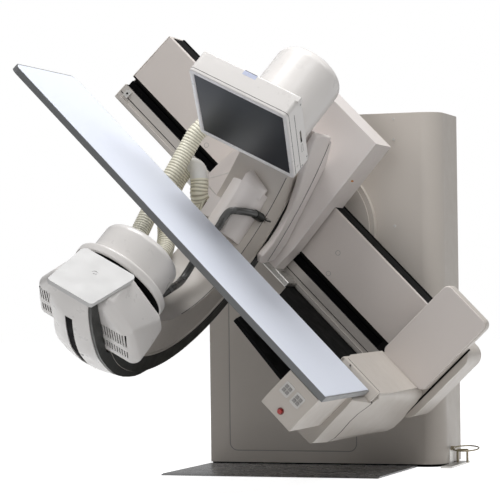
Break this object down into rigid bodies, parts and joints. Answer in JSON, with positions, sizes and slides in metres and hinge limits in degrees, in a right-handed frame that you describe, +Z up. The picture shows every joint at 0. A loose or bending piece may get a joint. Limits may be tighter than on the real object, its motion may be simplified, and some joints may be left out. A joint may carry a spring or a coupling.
{
  "type": "x-ray machine",
  "caption": "Tilting fluoroscopy table with a C-arm, flat detector, tube head, side control box and floor stand.",
  "frame": {"origin": "on the floor under the table's tilt axis, in the plane of the stand's front face", "axes": "+Z up, +X along the stand towards the table's foot end, +Y from the operator's side to the stand"},
  "size_m": [2.0951, 3.0168, 2.3414],
  "materials": {
    "warm_grey_enamel": "satin",
    "white_cover": "satin",
    "grey_steel": "satin",
    "dark_floor_plate": "satin",
    "bare_steel": "brushed",
    "black_rubber": "matte",
    "black_plastic": "matte",
    "cream_hose": "satin",
    "tabletop_laminate": "gloss",
    "detector_face": "gloss",
    "red_plastic": "gloss",
    "key_plastic": "satin",
    "amber_lens": "gloss",
    "light_grey_door": "satin"
  },
  "bodies": {
    "stand": {"floor_plate": "dark_floor_plate", "base_frame": "grey_steel", "stand_cover": "warm_grey_enamel", "service_door": "light_grey_door", "stand_plinth": "black_plastic", "cover_screws": "bare_steel", "bearing_ring": "warm_grey_enamel", "side_foot": "bare_steel", "tie_ring": "bare_steel"},
    "table": {"tilt_hub": "grey_steel", "beam_frame": "grey_steel", "beam_cover": "warm_grey_enamel", "beam_end_cap": "warm_grey_enamel", "guide_rails": "bare_steel", "slot_screws": "bare_steel", "rear_strip": "black_plastic", "end_housing": "warm_grey_enamel", "end_panel": "white_cover", "rear_cover": "warm_grey_enamel", "cross_housing": "warm_grey_enamel", "bottom_cover": "warm_grey_enamel", "front_cover": "warm_grey_enamel", "support_arm": "black_plastic", "control_box": "warm_grey_enamel", "keypad_frames": "black_plastic"},
    "carriage": {"carriage_box": "warm_grey_enamel", "carriage_foot": "bare_steel", "status_lamp": "amber_lens"},
    "arm_sleeve": {"sleeve": "warm_grey_enamel", "sleeve_cheeks": "white_cover"},
    "c_arm": {"c_arc": "warm_grey_enamel", "arc_cover": "warm_grey_enamel", "arc_rims": "black_rubber", "end_band": "white_cover", "end_slot": "black_plastic", "tube_housing": "white_cover", "front_plate": "white_cover", "tube_neck": "black_rubber", "hood": "white_cover", "hose_manifold": "warm_grey_enamel", "hose_upper": "cream_hose", "hose_lower": "cream_hose", "power_cable": "black_rubber", "ring_flange": "white_cover"},
    "detector_lift": {"detector_arm": "bare_steel"},
    "detector": {"detector_housing": "white_cover", "detector_panel": "detector_face"},
    "collimator": {"collimator_cup": "white_cover"},
    "table_carrier": {"table_slide": "bare_steel"},
    "tabletop_body": {"tabletop": "tabletop_laminate", "table_edge": "black_rubber"},
    "stop_control": {"stop_button": "red_plastic"},
    "key_body_1": {"key_1": "key_plastic"},
    "key_body_2": {"key_2": "key_plastic"},
    "key_body_3": {"key_3": "key_plastic"},
    "key_body_4": {"key_4": "key_plastic"},
    "key_body_5": {"key_5": "key_plastic"},
    "key_body_6": {"key_6": "key_plastic"},
    "key_body_7": {"key_7": "key_plastic"},
    "key_body_8": {"key_8": "key_plastic"}
  },
  "joints": [
    {"name": "table_tilt", "type": "hinge", "parent": "stand", "child": "table", "pos_m": [0, 0, 1.28], "axis": [0, 1, 0], "range_deg": [-61, 44]},
    {"name": "carriage_travel", "type": "slide", "parent": "table", "child": "carriage", "axis": [0.6947, 0, -0.7193], "range_m": [-0.5, 0.06]},
    {"name": "arm_swing", "type": "hinge", "parent": "carriage", "child": "arm_sleeve", "pos_m": [0.00159, -1.59, 1.53316], "axis": [0, -1, 0], "range_deg": [-30, 8]},
    {"name": "arm_orbit", "type": "hinge", "parent": "arm_sleeve", "child": "c_arm", "pos_m": [0.00159, -1.59, 1.53316], "axis": [-0.8746, 0, 0.4848], "range_deg": [-50, 3]},
    {"name": "detector_height", "type": "slide", "parent": "c_arm", "child": "detector_lift", "axis": [0.4066, 0.5446, 0.7335], "range_m": [-0.15, 0]},
    {"name": "detector_turn", "type": "hinge", "parent": "detector_lift", "child": "detector", "pos_m": [0.00159, -1.59, 1.53316], "axis": [0.4066, 0.5446, 0.7335], "range_deg": [-45, 45]},
    {"name": "collimator_turn", "type": "hinge", "parent": "c_arm", "child": "collimator", "pos_m": [0.00159, -1.59, 1.53316], "axis": [0.4066, 0.5446, 0.7335], "range_deg": [-45, 45]},
    {"name": "table_lengthways", "type": "slide", "parent": "table", "child": "table_carrier", "axis": [0.6947, 0, -0.7193], "range_m": [-0.3, 0.1]},
    {"name": "table_crossways", "type": "slide", "parent": "table_carrier", "child": "tabletop_body", "axis": [0, 1, 0], "range_m": [-0.12, 0]},
    {"name": "key_press_1", "type": "slide", "parent": "table", "child": "key_body_1", "axis": [0, 1, 0], "range_m": [0, 0.0015], "stiffness_N_per_m": 600},
    {"name": "key_press_2", "type": "slide", "parent": "table", "child": "key_body_2", "axis": [0, 1, 0], "range_m": [0, 0.0015], "stiffness_N_per_m": 600},
    {"name": "key_press_3", "type": "slide", "parent": "table", "child": "key_body_3", "axis": [0, 1, 0], "range_m": [0, 0.0015], "stiffness_N_per_m": 600},
    {"name": "key_press_4", "type": "slide", "parent": "table", "child": "key_body_4", "axis": [0, 1, 0], "range_m": [0, 0.0015], "stiffness_N_per_m": 600},
    {"name": "key_press_5", "type": "slide", "parent": "table", "child": "key_body_5", "axis": [0, 1, 0], "range_m": [0, 0.0015], "stiffness_N_per_m": 600},
    {"name": "key_press_6", "type": "slide", "parent": "table", "child": "key_body_6", "axis": [0, 1, 0], "range_m": [0, 0.0015], "stiffness_N_per_m": 600},
    {"name": "key_press_7", "type": "slide", "parent": "table", "child": "key_body_7", "axis": [0, 1, 0], "range_m": [0, 0.0015], "stiffness_N_per_m": 600},
    {"name": "key_press_8", "type": "slide", "parent": "table", "child": "key_body_8", "axis": [0, 1, 0], "range_m": [0, 0.0015], "stiffness_N_per_m": 600},
    {"name": "stop_press", "type": "slide", "parent": "table", "child": "stop_control", "axis": [0.174, 0.9703, 0.1681], "range_m": [0, 0.004], "stiffness_N_per_m": 1500}
  ]
}
